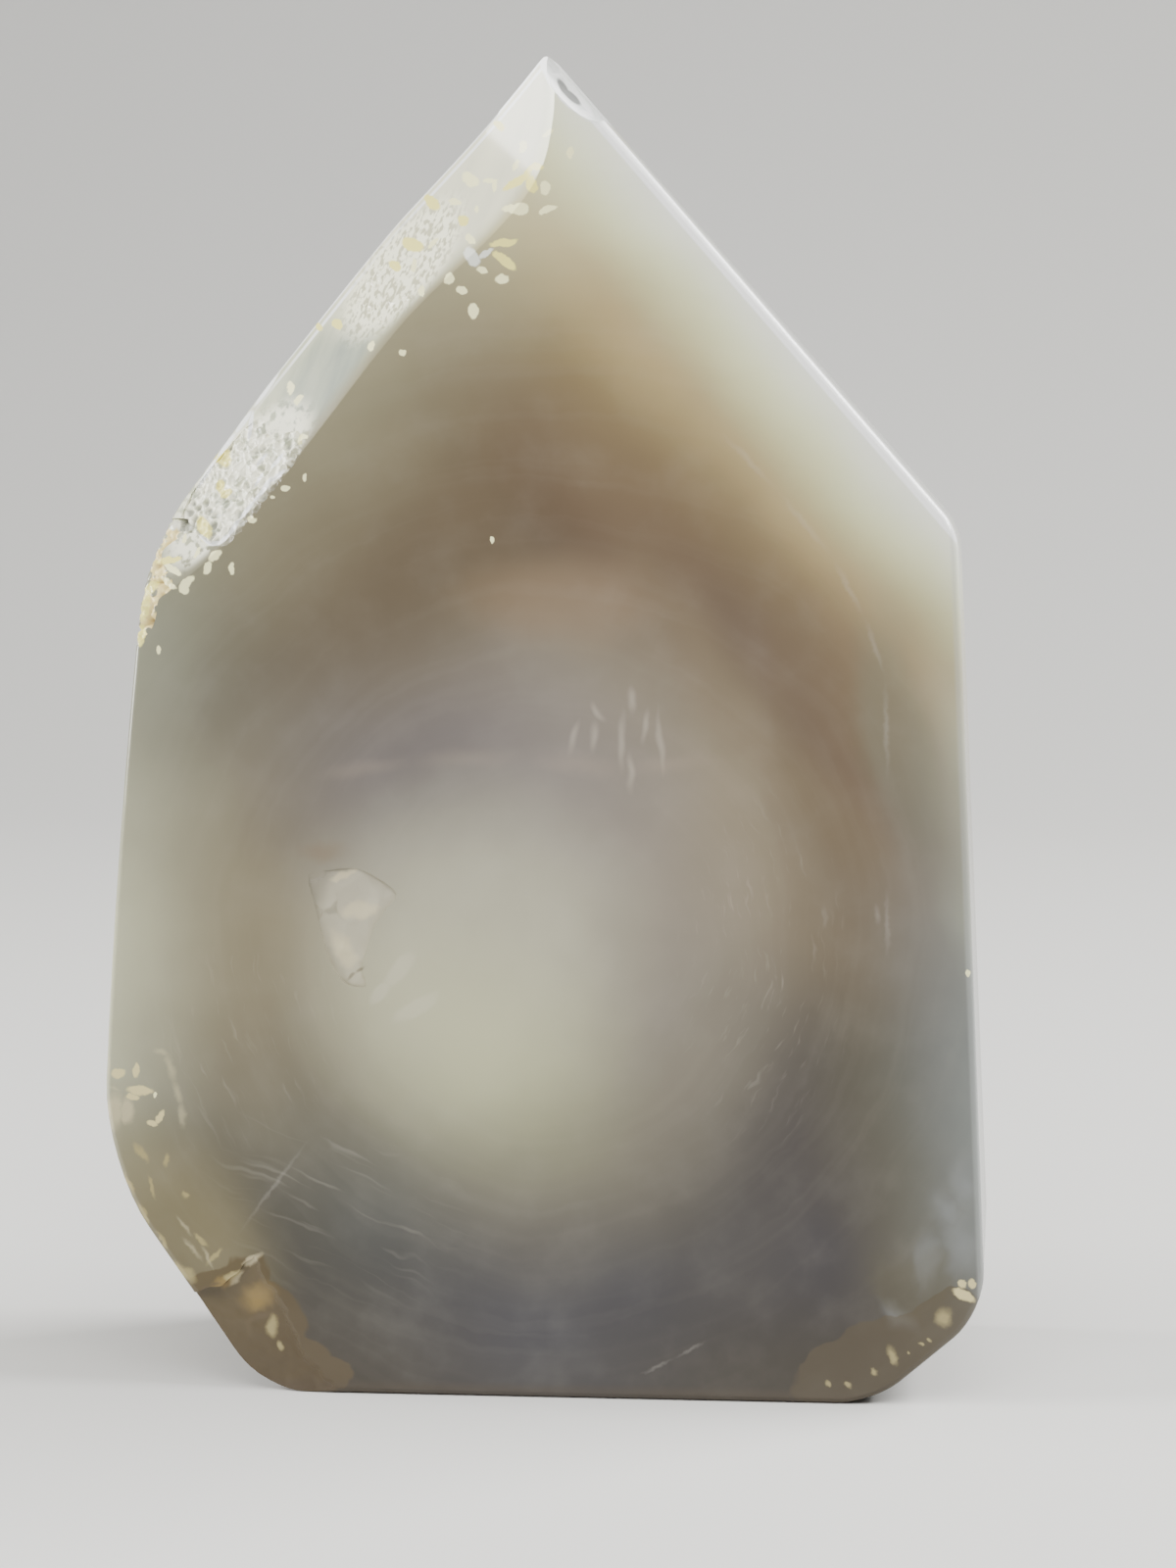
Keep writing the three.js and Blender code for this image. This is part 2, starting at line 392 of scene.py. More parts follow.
# %% Keep the undamaged shape for measuring
select_only(stone)
bpy.ops.object.duplicate()
undamaged = bpy.context.object
undamaged.name = "undamaged"
print("kept for measuring:", len(undamaged.data.polygons), "faces")

# %% Tools for small damage
TOOL_HEIGHT = 6  # from well below its floor to well above the stone
TOOL_MARGIN = 0.5  # how much larger than its outline a tool's floor starts


def relief(kind, size, height, level=0.5, **settings):
    """One layer of roughness: a procedural texture with the size of its features, and its height, in
    millimetres. Where it is as bright as level, the surface stays in place."""
    layer = bpy.data.textures.new("relief", kind)
    layer.noise_scale = size
    for name, value in settings.items():
        setattr(layer, name, value)
    return layer, height, level


def roughen(piece, layers, direction):
    """Displaces a piece by each layer of roughness in turn."""
    for layer, height, level in layers:
        apply_modifier(piece, "DISPLACE", texture=layer, texture_coords="LOCAL",
                       direction=direction, strength=height, mid_level=level)


def thicken_outwards(piece, surface):
    """Makes a sheet a closed block that reaches out of the stone."""
    extrude_by(piece, [surface.to_3x3() @ Vector((0, 0, TOOL_HEIGHT))])


def add_rough_sheet(name, surface, low, high, step, layers, wrapped):
    """A displaced grid over a rectangle of a surface, thickened outwards. A wrapped one is first laid
    on the stone, and sinks into it from there."""
    size = high - low
    bpy.ops.object.select_all(action="DESELECT")
    bpy.ops.mesh.primitive_grid_add(
        x_subdivisions=math.ceil(size.x / step), y_subdivisions=math.ceil(size.y / step), size=1
    )
    sheet = bpy.context.object
    sheet.name = name
    sheet.scale = (size.x, size.y, 1)
    sheet.location = ((low.x + high.x) / 2, (low.y + high.y) / 2, 0)
    apply_place(sheet)
    sheet.matrix_world = surface
    if wrapped:
        apply_modifier(sheet, "SHRINKWRAP", target=stone, wrap_method="PROJECT", use_project_z=True,
                       use_negative_direction=True, use_positive_direction=True, offset=-wrapped * MM)
    roughen(sheet, layers, "Z")
    thicken_outwards(sheet, surface)
    apply_place(sheet)
    return sheet


def hollow_out(name, surface, outline, step, layers, curve_steps=4, wrapped=0):
    """Cuts one rough-floored hollow into the stone. The outline holds pixels of the reference frame,
    seen on the surface that is the hollow's floor."""
    places = [seen_on(pixel, surface) for pixel in outline]
    rim = smooth_through([place.xy for place in places], curve_steps, closed=True)
    low = Vector([min(across) - TOOL_MARGIN for across in zip(*rim)])
    high = Vector([max(across) + TOOL_MARGIN for across in zip(*rim)])
    tool = add_rough_sheet(name, surface, low, high, step, layers, wrapped)
    below = Vector((0, 0, -TOOL_HEIGHT / 2))
    block = add_outline(name + "_outline", [surface @ (p.to_3d() + below) for p in rim])
    thicken_outwards(block, surface)
    print(name, [round(side, 1) for side in high - low], "mm")
    cut_with(tool, block, "INTERSECT")
    cut_with(stone, tool)


def sunk(surface, depth):
    """The same surface, so many millimetres deeper in the stone."""
    return surface @ Matrix.Translation((0, 0, -depth))


# %% Open the cells in the bevel
HONEYCOMB = [
    (184, 540), (196, 505), (222, 470), (252, 436), (268, 428), (276, 446), (304, 440), (308, 461),
    (288, 489), (263, 521), (244, 549), (228, 558), (214, 555), (203, 546),
]
FLAKED = [
    (372, 322), (366, 296), (384, 262), (412, 226), (432, 204), (446, 214), (452, 240), (438, 262),
    (436, 288), (410, 312), (398, 332), (384, 336),
]
cells = relief("VORONOI", 0.85, -0.6, 0.08, weight_1=-1, weight_2=1, noise_intensity=1.6)
fine_cells = relief("VORONOI", 0.4, -0.12, 0.1, weight_1=-1, weight_2=1, noise_intensity=1.4)
grain = relief("CLOUDS", 0.25, 0.07, noise_depth=2)
swell = relief("CLOUDS", 1.6, 0.22, noise_depth=1)
flakes = relief("VORONOI", 0.5, 0.5, 0.2, distance_metric="CHEBYCHEV", noise_intensity=1.2)

hollow_out("honeycomb", sunk(bevel_face, 0.06), HONEYCOMB, 0.085, [cells, fine_cells, grain])
hollow_out("flaked", sunk(bevel_face, -0.1), FLAKED, 0.09, [flakes, swell, grain])

# %% Chip the face, the tip and the lower left
FACE_CHIP = [
    (315, 893), (337, 888), (362, 886), (386, 896), (405, 912), (394, 928), (382, 946), (377, 960),
    (373, 972), (369, 989), (374, 1002), (369, 1007), (351, 1002), (337, 980), (331, 960), (322, 926),
]
LEDGE = [
    (180, 1322), (203, 1317), (214, 1312), (227, 1311), (236, 1303), (245, 1297), (250, 1288),
    (258, 1284), (266, 1272), (290, 1280), (400, 1340), (420, 1460), (240, 1470), (160, 1380),
]
CHIP_DIP, LEDGE_DIP = 2.3, 8  # degrees
LEDGE_STEP = 0.7

ripple = relief("CLOUDS", 2.2, 0.16, noise_depth=1)
bumps = relief("CLOUDS", 0.8, 0.1, noise_depth=2)
chip_steps = relief("VORONOI", 2.6, 0.3, 0.3, distance_metric="DISTANCE_SQUARED")
ledge_swell = relief("CLOUDS", 3.5, 0.3, noise_depth=1)


def tipped(origin, along, across, degrees):
    """A surface near the show face that sinks into the stone by so many degrees against across."""
    sink = Vector((0, math.tan(math.radians(degrees)), 0))
    return surface_at(origin, on_front(*along), on_front(*across) - sink)


chip_floor = tipped(behind_face(-19, 40, 0.02), (0.34, 0.94), (-0.94, 0.34), CHIP_DIP)
hollow_out("face_chip", chip_floor, FACE_CHIP, 0.14, [chip_steps, ripple, bumps], curve_steps=3)

ledge_floor = tipped(behind_face(-28, 8.2, LEDGE_STEP), (0.55, -0.83), (0.83, 0.55), LEDGE_DIP)
hollow_out("ledge", ledge_floor, LEDGE, 0.2, [ledge_swell, bumps], curve_steps=3)

# %% Leave natural skin at the left shoulder
RIND = [
    (130, 664), (144, 662), (155, 645), (160, 628), (163, 612), (170, 600), (168, 588), (160, 574),
    (158, 560), (166, 547), (176, 534), (168, 524), (120, 540), (110, 600),
]
RIND_DEPTH = 0.12

rind_surface = surface_at(
    behind_face(-33, 66.5, 1.2), Vector((0.21, 0.1, 0.98)), Vector((-0.72, 0.68, 0.1))
)
knobs = relief("VORONOI", 1.2, -0.9, 0.12, distance_metric="DISTANCE_SQUARED")
small_knobs = relief("VORONOI", 0.6, -0.35, 0.15, distance_metric="DISTANCE_SQUARED")
hollow_out("rind", rind_surface, RIND, 0.1, [knobs, small_knobs, grain], wrapped=RIND_DEPTH)

# %% Chip the tip
TIP_CHIP_AT = (1.9, 107.1)
TIP_CHIP_SIZE = (4, 1.3, 1.5)  # along the slope, into the stone, and across
TIP_CHIP_TURN = math.radians(49)

bpy.ops.object.select_all(action="DESELECT")
bpy.ops.mesh.primitive_ico_sphere_add(subdivisions=5, radius=1)
tip_tool = bpy.context.object
tip_tool.name = "tip_chip"
tip_tool.scale = TIP_CHIP_SIZE
apply_place(tip_tool)
roughen(tip_tool, [ripple, grain], "NORMAL")
tip_tool.scale = (MM, MM, MM)
tip_tool.rotation_euler = (0, TIP_CHIP_TURN, 0)
tip_tool.location = behind_face(*TIP_CHIP_AT) * MM
apply_place(tip_tool)
cut_with(stone, tip_tool)

# %% [markdown]
# A polished face must stay flat to the eye up to the broken edge, while the edge itself looks round.
# Smooth shading alone would bend the reflections on the whole face. Weighted normals take their
# direction from the large faces, so only the narrow breaks turn.

# %% Smooth the polish
SHARP_ABOVE = math.radians(34)

select_only(stone)
bpy.ops.object.shade_smooth_by_angle(angle=SHARP_ABOVE)
apply_modifier(stone, "WEIGHTED_NORMAL", keep_sharp=True)
print("smoothed stone:", len(stone.data.polygons), "faces,", open_edges(stone), "open edges")

# %% Measure how deep the damage goes
depths = stone.data.attributes.new("depth", "FLOAT", "POINT")
for number, point in enumerate(stone.data.vertices):
    _, nearest, _, _ = undamaged.closest_point_on_mesh(point.co)
    depths.data[number].value = (point.co - nearest).length / MM
bpy.data.objects.remove(undamaged)
print("deepest damage, mm:", round(max(item.value for item in depths.data), 2))

# %% [markdown]
# The material is agate, a fibrous quartz. It was lapped and polished, so its surface is smooth and
# mirrors the soft boxes crisply, with an index of refraction of 1.54. The colours grew inside the
# nodule and run right through the stone. Painted on each face they wouldn't meet at the edges, so
# the material works in space, in millimetres, and the faces show where they cut it.

# %% Helpers for the material
FACTOR, UNDER, OVER, MIXED = 0, 6, 7, 2  # the sockets of a colour Mix

agate = bpy.data.materials.new("polished_agate")
agate.use_nodes = True
nodes, links = agate.node_tree.nodes, agate.node_tree.links
nodes.clear()


def linear(hex_colour):
    """An sRGB hex colour as the linear values that a shader works with."""
    parts = [int(hex_colour[i:i + 2], 16) / 255 for i in (1, 3, 5)]
    return [*(c / 12.92 if c <= 0.04045 else ((c + 0.055) / 1.055) ** 2.4 for c in parts), 1]


def put(kind, inputs, output=0, **settings):
    """Adds one shader node with its settings, sets its inputs or joins them to other nodes, and
    gives back one of its outputs."""
    node = nodes.new("ShaderNode" + kind)
    for name, value in settings.items():
        setattr(node, name, value)
    for name, value in inputs.items():
        if isinstance(value, bpy.types.NodeSocket):
            links.new(value, node.inputs[name])
        else:
            node.inputs[name].default_value = value
    return node.outputs[output] if node.outputs else None


def with_stops(ramp, stops):
    """A colour ramp with its stops set: where each is, from 0 to 1, and its colour."""
    elements = ramp.node.color_ramp.elements
    while len(elements) < len(stops):
        elements.new(0.5)
    for element, (position, paint) in zip(elements, stops):
        element.position = position
        element.color = linear(paint)
    return ramp


def laid_over(colour, paint, limits, strength=1.0):
    """A colour with paint laid over it. Each limit is a value, where it gives no paint and where it
    gives all of it, and the shares that the limits give are multiplied."""
    share = strength
    for value, none, full in limits:
        limit = put("MapRange", {"Value": value, "From Min": none, "From Max": full},
                    interpolation_type="SMOOTHSTEP")
        share = put("Math", {0: share, 1: limit}, operation="MULTIPLY")
    over = paint if isinstance(paint, bpy.types.NodeSocket) else linear(paint)
    return put("Mix", {FACTOR: share, UNDER: colour, OVER: over}, MIXED, data_type="RGBA")


print("white is", linear("#ffffff"))

# %% Places in millimetres
object_place = put("TexCoord", {}, "Object")
place = put("VectorMath", {0: object_place, "Scale": 1 / MM}, operation="SCALE")
height = put("SeparateXYZ", {"Vector": place}, "Z")


def pushed(start, size, reach):
    """A place moved by smooth noise: size is how far apart its swirls are, reach how far they push."""
    noise = put("TexNoise", {"Vector": start, "Scale": 1 / size, "Detail": 1}, "Color")
    centred = put("VectorMath", {0: noise, 1: (0.5, 0.5, 0.5)}, operation="SUBTRACT")
    push = put("VectorMath", {0: centred, "Scale": 2 * reach}, operation="SCALE")
    return put("VectorMath", {0: start, 1: push}, operation="ADD")


def inside(around, outwards, reach):
    """How far a point lies inside a plane that looks along outwards, one unit long, and is reach
    millimetres from the origin."""
    along = put("VectorMath", {0: around, 1: outwards}, "Value", operation="DOT_PRODUCT")
    return put("Math", {0: reach, 1: along}, operation="SUBTRACT")


soft_place = pushed(pushed(place, 22, 1.3), 7, 0.8)
face_out = (0, -math.cos(FRONT_LEAN), math.sin(FRONT_LEAN))
behind = inside(place, face_out, BASE_DEPTH / 2 * math.cos(FRONT_LEAN))
print("nodes for places:", len(nodes))

# %% [markdown]
# Where the stone is thin, at its right slope, it is pale and clear. Further in it turns brown and
# then dusky. This change is one ramp of colour that starts at the slope. Everything else in the
# colouring is laid over it, layer by layer, as glazes are.

# %% The colour from the right slope inwards
SLOPE_OUT = (0.753, 0, 0.658)
SLOPE_REACH = 71.9
SLOPE_COLOURS = [
    (0, "#ededed"), (4, "#d9ddab"), (8, "#a3926d"), (11, "#a39167"),
    (15, "#82724f"), (20, "#675849"), (26, "#4b382a"), (60, "#525654"),
]  # millimetres in from the slope, and the colour there

from_slope = inside(soft_place, SLOPE_OUT, SLOPE_REACH)
deepest_colour = SLOPE_COLOURS[-1][0]
share_in = put("Math", {0: from_slope, 1: deepest_colour}, operation="DIVIDE")
stops = [(far / deepest_colour, paint) for far, paint in SLOPE_COLOURS]
colour = with_stops(put("ValToRGB", {"Fac": share_in}), stops)
colour.node.color_ramp.interpolation = "B_SPLINE"
print("colours from the slope inwards:", len(SLOPE_COLOURS))

# %% [markdown]
# The rest of the colour is a set of soft clouds, as agate has where its layers are too thin to see
# one by one. Each cloud is an ellipsoid that fades from its middle to its border. That keeps the
# colours the same on every face that cuts it, and noise bends the borders. The glow in the middle
# is partly the stone's own paler colour and partly painted light, and the pale left and right edges
# are painted light, where the rounded edges catch it.

# %% Clouds of colour
DEEP = 34  # how far a cloud reaches into the stone, from the show face

# Each cloud: its colour, middle x and z, half width and half height, turn in degrees, the nearness
# to its middle from which it is full, and its strength there
CLOUDS = [
    ("#34323a", 6, 2, 58, 27, -60, 0.65, 0.8),  # dusky foot
    ("#ebedc1", -13, 96, 21, 70, 40, 1, 0.5),  # pale under the bevel
    ("#a59773", -24, 38, 20, 34, 5, 1, 0.45),  # olive left
    ("#5b584c", 28, 23, 8, 70, -15, 1, 0.75),  # dark inside the right strip
    ("#7c6d59", 27, 49, 20, 23, 10, 0.55, 0.5),  # brown right
    ("#cec4a3", 1, 39, 24, 35, 5, 0.45, 0.2),  # wide warm middle
    ("#696361", -7, 50, 17, 23, 90, 0.8, 0.95),  # mauve ring
    ("#9f978d", 6, 43, 16, 31, -15, 0.9, 0.4),
    # partly painted light: a glow through the middle, over the stone's own paler colour
    ("#bcb9a2", -6, 36, 18, 18, 20, 0.75, 0.7),  # glow
    ("#d8dca1", -5, 28, 13, 18, -60, 1, 0.25),
    # painted light: the glow that the rounded left edge catches
    ("#eaeac6", -49, 20, 22, 55, 15, 1, 1),  # pale left edge
    ("#808683", 42, 18, 15, 46, -15, 0.9, 0.95),  # blue-grey right strip
    ("#312a1f", 23, -3, 31, 18, 0, 0.8, 1),  # brown foot, right
    ("#342d21", -19, -1, 56, 19, 35, 0.95, 1),  # brown foot, left
    ("#9c916a", -30.5, 14, 8, 15, -40, 0.8, 0.42),
    # painted light: the glow that the right edge catches
    ("#d0d9be", 41, 42, 10, 25, -20, 0.85, 0.7),  # pale right edge
    ("#6d614b", -15, 78, 28, 23, 90, 0.6, 0.55),  # olive brown below the bevel
    ("#49353a", 24, 58, 43, 7, 50, 0.6, 0.35),  # dark arch, right
    ("#6b6658", 16, 22, 18, 13, -85, 0.6, 0.25),
    ("#977e62", 1, 65, 11, 5, 0, 0.75, 0.3),  # tan arch
    ("#707565", 29, 54, 4, 15, -10, 0.65, 0.35),
    ("#695c47", 23, 54, 4, 14, -15, 0.3, 0.25),
]


def blob(around, x, z, wide, tall, turn=0, deep=DEEP):
    """How near a point is to the middle of a blob: 1 there, and 0 on the blob's border and outside."""
    mapped = put("Mapping", {
        "Vector": around, "Location": (x, front_y(z), z), "Rotation": (0, math.radians(turn), 0),
        "Scale": (wide, deep, tall),
    }, vector_type="TEXTURE")
    return put("TexGradient", {"Vector": mapped}, "Fac", gradient_type="SPHERICAL")


for paint, x, z, wide, tall, turn, full, strength in CLOUDS:
    colour = laid_over(colour, paint, [(blob(soft_place, x, z, wide, tall, turn), 0, full)], strength)
print("clouds:", len(CLOUDS), "nodes:", len(nodes))

# %% [markdown]
# Agate grew as thin layers round the middle of the nodule, and on the polished face they show as
# faint rings, with short pale hairlines between them. A wave texture would give rings that are too
# even. Noise does better: it is squeezed across the rings and drawn out along them, by giving it the
# direction from the middle and the distance from it instead of a plain place.

# %% Faint bands and hairlines round the middle
RING_MIDDLE = (0, 37.5)
HAIR_ZONES = [(18, 35, 9, 19, 0), (-25, 29, 10, 12, 40)]
VEIN_ZONE = (-17, 16, 14, 10, 20)  # as a blob

level_place = put("VectorMath", {
    0: pushed(pushed(place, 9, 1.2), 1.5, 0.35), 1: (1, 0, 1), 2: (-RING_MIDDLE[0], 0, -RING_MIDDLE[1]),
}, operation="MULTIPLY_ADD")
ring_reach = put("VectorMath", {0: level_place}, "Value", operation="LENGTH")
ring_side = put("VectorMath", {0: level_place}, operation="NORMALIZE")


def along_rings(width, length):
    """Noise with swirls so wide across the rings and so long along them, 20 mm from the middle."""
    squeezed = put("Math", {0: ring_reach, 1: width}, operation="DIVIDE")
    across = put("CombineXYZ", {"Y": squeezed})
    spun = put("VectorMath", {0: ring_side, 1: (20 / length, 0, 20 / length), 2: across},
               operation="MULTIPLY_ADD")
    return put("TexNoise", {"Vector": spun, "Scale": 1, "Detail": 2}, "Fac")


hair_zone = 0
for x, z, wide, tall, turn in HAIR_ZONES:
    hair_zone = put("Math", {0: hair_zone, 1: blob(place, x, z, wide, tall, turn)}, operation="MAXIMUM")
dark_bands, light_bands, hairs = along_rings(2.6, 30), along_rings(1.2, 24), along_rings(0.4, 2.6)
colour = laid_over(colour, "#4a443d", [(dark_bands, 0.3, 0.7), (ring_reach, 6, 18)], 0.025)
colour = laid_over(colour, "#d8d0c0", [(light_bands, 0.45, 0.75), (ring_reach, 9, 16)], 0.015)
colour = laid_over(colour, "#d9d3c3", [(hairs, 0.58, 0.78), (hair_zone, 0, 0.7)], 0.09)
print("bands, nodes:", len(nodes))

# %% Cloudiness all through, and level veins
def noise_at(around, size, detail=2, longer=(1, 1, 1), turn=0):
    """Smooth noise with swirls so many millimetres apart, drawn out along the axes so many times. The
    turn in degrees tips those axes in the plane of the show face."""
    mapped = put("Mapping", {"Vector": around, "Scale": longer, "Rotation": (0, math.radians(turn), 0)},
                 vector_type="TEXTURE")
    return put("TexNoise", {"Vector": mapped, "Scale": 1 / size, "Detail": detail}, "Fac")


colour = laid_over(colour, "#3f3a33", [(noise_at(place, 7, 4), 0.35, 0.8)], 0.08)
colour = laid_over(colour, "#d4cfc4", [(noise_at(place, 4, 5), 0.4, 0.85)], 0.035)
veins = noise_at(pushed(pushed(place, 6, 1.2), 1.8, 0.3), 0.6, 1, longer=(14, 10, 1), turn=24)
colour = laid_over(colour, "#d9d3c3", [(veins, 0.58, 0.78), (blob(place, *VEIN_ZONE), 0, 0.8)], 0.11)
print("cloudiness and veins, nodes:", len(nodes))

# %% [markdown]
# Small marks lie in the stone just under the polish: stains that crept in along the cut corners,
# cream flecks, veins and smears. Each is drawn as a short stroke with two ends and a width, and
# becomes a thin ellipsoid. Raising them would be wrong, because the polish runs flat over them.
# Some strokes are painted light instead: highlights on rims, glints on the chips, and shade along
# steps and in the tip chip.

# %% Strokes
MARK_DEPTH = 2.5  # how far marks reach into the stone
PIXEL = 0.0795  # millimetres on the show face
HALF = 0.6  # of a mark's width, and a little more, because its border fades


def nearest_mark(around, marks):
    """How near a point is to the middle of one of several marks: 0 on their borders and outside.
    The nodes are added mark by mark, because the shader has room for only a few open values."""
    nearest = 0
    for x0, y0, x1, y1, width in marks:
        start, end = seen_on_stone((x0, y0)), seen_on_stone((x1, y1))
        stroke = end - start
        mapped = put("Mapping", {
            "Vector": around,
            "Location": (start + end) / 2,
            "Rotation": (0, math.atan2(-stroke.z, stroke.x), 0),
            "Scale": (stroke.length / 2 + width * PIXEL * HALF, MARK_DEPTH, width * PIXEL * HALF),
        }, vector_type="TEXTURE")
        gradient = put("TexGradient", {"Vector": mapped}, "Fac", gradient_type="SPHERICAL")
        nearest = put("Math", {0: nearest, 1: gradient}, operation="MAXIMUM")
    return nearest


def joined(width, *points):
    """Marks of one width that run end to end through points."""
    return [(*start, *end, width) for start, end in zip(points, points[1:])]


def with_marks(colour, layers):
    """The colour with layers of marks laid over it. Each layer is its paint, its place, its marks,
    the nearness from which it is full, and its strength."""
    for paint, around, marks, full, strength in layers:
        colour = laid_over(colour, paint, [(nearest_mark(around, marks), 0, full)], strength)
    return colour


mark_place = pushed(pushed(place, 0.9, 0.2), 0.3, 0.1)
tick_place = pushed(place, 2.2, 0.4)
rough_place = pushed(mark_place, 1.4, 0.45)
stain_place = pushed(pushed(place, 5, 1.6), 1.4, 0.5)
low_middle = seen_on_stone((560, 1400))
print("a pixel low in the middle is at x, z:", round(low_middle.x, 1), round(low_middle.z, 1))

# %% Stains in the lower corners
# Each mark is its two ends, as x and y, and its width, in pixels of the reference frame.
LEFT_STAIN = [
    (205, 1335, 250, 1308, 60), (225, 1350, 278, 1345, 66), (262, 1385, 300, 1385, 62),
    (290, 1402, 335, 1402, 44),
]
RIGHT_STAIN = [
    (830, 1410, 930, 1385, 56), (895, 1378, 960, 1362, 50), (940, 1356, 984, 1338, 44),
]
BLUE_GREY = [
    (960, 1228, 974, 1250, 40), (982, 1262, 978, 1284, 50), (941, 1272, 944, 1306, 40),
    (905, 1338, 926, 1350, 34), (984, 1180, 988, 1236, 30),
]
OLIVE = [(904, 1304, 926, 1326, 60), (948, 1296, 962, 1318, 44)]

colour = with_marks(colour, [
    ("#8f9395", stain_place, BLUE_GREY, 1, 0.32),
    ("#565039", stain_place, OLIVE, 0.5, 0.28),
    ("#52442a", stain_place, LEFT_STAIN, 0.08, 0.75),
    ("#4d422c", stain_place, RIGHT_STAIN, 0.08, 0.55),
])
print("stains, nodes:", len(nodes))

# %% [markdown]
# The wide bevel cuts through the palest outer layer. It was ground by hand and polished less than
# the face, so faint lines run down it, and its top is painted paler still, as painted light from
# above. The broken edges carry painted highlights, where light gathers in them. Both are painted by
# distance: from the face, from the sides and in height.

# %% The pale bevel
BEVEL_LINES = 1.6  # millimetres between the lines
BEVEL_GRAIN = 20  # how far they lean to the right, in degrees
CLEAR_SPOT = (-18.5, 83.5, 3.5, 7, 38, 12)  # where the bevel is clear, as a blob

upper_left = put("VectorMath", {0: pushed(place, 3, 0.35), 1: (-0.736, 0, 0.678)}, "Value",
                 operation="DOT_PRODUCT")
on_bevel = [(behind, 0, 1.1), (upper_left, 63.5, 66), (height, 65, 72.5)]
lines = noise_at(place, BEVEL_LINES, 4, longer=(1, 2.5, 8), turn=BEVEL_GRAIN)
bevel_paint = with_stops(put("ValToRGB", {"Fac": lines}), [(0.36, "#a2a892"), (0.7, "#d4d4b4")])
colour = laid_over(colour, bevel_paint, on_bevel, 0.92)
# Painted highlight: the top of the bevel is painted paler, where the light from above falls on it.
colour = laid_over(colour, "#e6e3c8", [*on_bevel, (height, 85, 92)], 0.75)
colour = laid_over(colour, "#87908c", [*on_bevel, (blob(place, *CLEAR_SPOT), 0, 0.6)], 0.45)
print("bevel, nodes:", len(nodes))

# %% Painted highlights on the broken edges, and painted shade at the foot
# The stone's sides as planes: which way each looks, and how far it is from the origin
RIGHT = ((0.999, 0, 0.0434), 36.55)
UPPER_LEFT = [((-0.729, 0, 0.685), 75.31), ((-0.778, 0, 0.628), 70.48), ((-0.809, 0, 0.588), 67.96)]

right_slope = inside(place, SLOPE_OUT, SLOPE_REACH)
right_side = inside(place, *RIGHT)
first, second, third = (inside(place, *side) for side in UPPER_LEFT)
lower_two = put("Math", {0: second, 1: third}, operation="MINIMUM")
upper_sides = put("Math", {0: first, 1: lower_two}, operation="MINIMUM")


def near_edge(side):
    """How far a point is from the edge between the show face and a side, in millimetres."""
    corner = put("CombineXYZ", {"X": side, "Y": behind})
    return put("VectorMath", {0: corner}, "Value", operation="LENGTH")


colour = laid_over(colour, "#83867c", [(right_slope, 3, 0.5), (behind, 1, 6)], 0.6)
# Painted shade: the lowest 1.4 mm of the stone is painted darker, where it meets the floor.
colour = laid_over(colour, "#4b4032", [(height, 1.4, 0.5)], 0.45)
# Painted highlight: a white line along the broken edge of the right slope.
colour = laid_over(colour, "#fdfdfb", [(near_edge(right_slope), 0.95, 0.75)])
# Painted highlight: a light line along the broken edge of the right side.
colour = laid_over(colour, "#b4b7b5", [(near_edge(right_side), 0.7, 0.4)], 0.3)
# Painted highlights: two white lines along the broken edges of the upper left sides, near the top.
edge_highlights = with_stops(put("ValToRGB", {"Fac": upper_sides}), [
    (0.1, "#ffffff"), (0.2, "#000000"), (0.38, "#000000"),
    (0.46, "#ffffff"), (0.6, "#ffffff"), (0.7, "#000000"),
])
colour = laid_over(colour, "#f6f7f4", [(edge_highlights, 0, 1), (height, 76, 90)], 0.95)
print("edges, nodes:", len(nodes))

# %% [markdown]
# Damage changes the surface and not only its shape. Opened cells and flakes scatter the light and
# look chalky, a chip is duller than the polish, and the skin of the nodule is yellow and cream. The
# deep pits among the cells are painted greyer, as painted shade, and the flakes carry painted glints.
# The depth that was measured on the mesh says where the polish is gone, so paint and shape agree.

# %% Pits, flakes, the chip and the skin
LOWER_PATCH, UPPER_PATCH = (243, 490), (411, 268)  # pixels in the middle of each
CELLS_SIZE = (4.5, 10.5, 40, 9)  # a blob's half width, half height, turn and reach in depth
FLAKES_SIZE = (3.9, 9.5, 38, 9)
CHIP = (-15.2, 38, 4, 7.5, 0, 4)  # the same after the blob's x and z
SKIN = (-33.6, 65, 3.4, 7, 12, 12)

depth = put("Attribute", {}, "Fac", attribute_name="depth")
lower_patch, upper_patch = seen_on_stone(LOWER_PATCH), seen_on_stone(UPPER_PATCH)
near_cells = blob(place, lower_patch.x, lower_patch.z, *CELLS_SIZE)
near_flakes = blob(place, upper_patch.x, upper_patch.z, *FLAKES_SIZE)
near_chip = blob(place, *CHIP)

patches = noise_at(place, 0.8, 3)
on_cells = [(near_cells, 0.05, 0.3), (behind, 0.1, 0.6), (patches, 0.37, 0.52)]
colour = laid_over(colour, "#f8f6de", on_cells, 0.9)
# Painted shade: the cells are painted greyer where they are deep.
colour = laid_over(colour, "#8e8f82", [(near_cells, 0.05, 0.3), (depth, 0.16, 0.34)], 0.8)

# Painted highlights: glints on the flakes.
glints = noise_at(place, 0.28, 1, longer=(1, 2, 2.2), turn=BEVEL_GRAIN)
glint_paint = with_stops(put("ValToRGB", {"Fac": glints}), [(0.4, "#bdba9c"), (0.52, "#fffde0")])
colour = laid_over(colour, glint_paint, [(near_flakes, 0.05, 0.4), (behind, 0.1, 0.8)], 0.92)

colour = laid_over(colour, "#c8c0a9", [(near_chip, 0, 0.3), (depth, 0.02, 0.08)], 0.35)

skin_paint = with_stops(put("ValToRGB", {"Fac": depth}), [(0.08, "#f0dd98"), (0.7, "#8e7648")])
colour = laid_over(colour, skin_paint, [(blob(place, *SKIN), 0, 0.05), (depth, 0.02, 0.08)])
print("damage, nodes:", len(nodes))
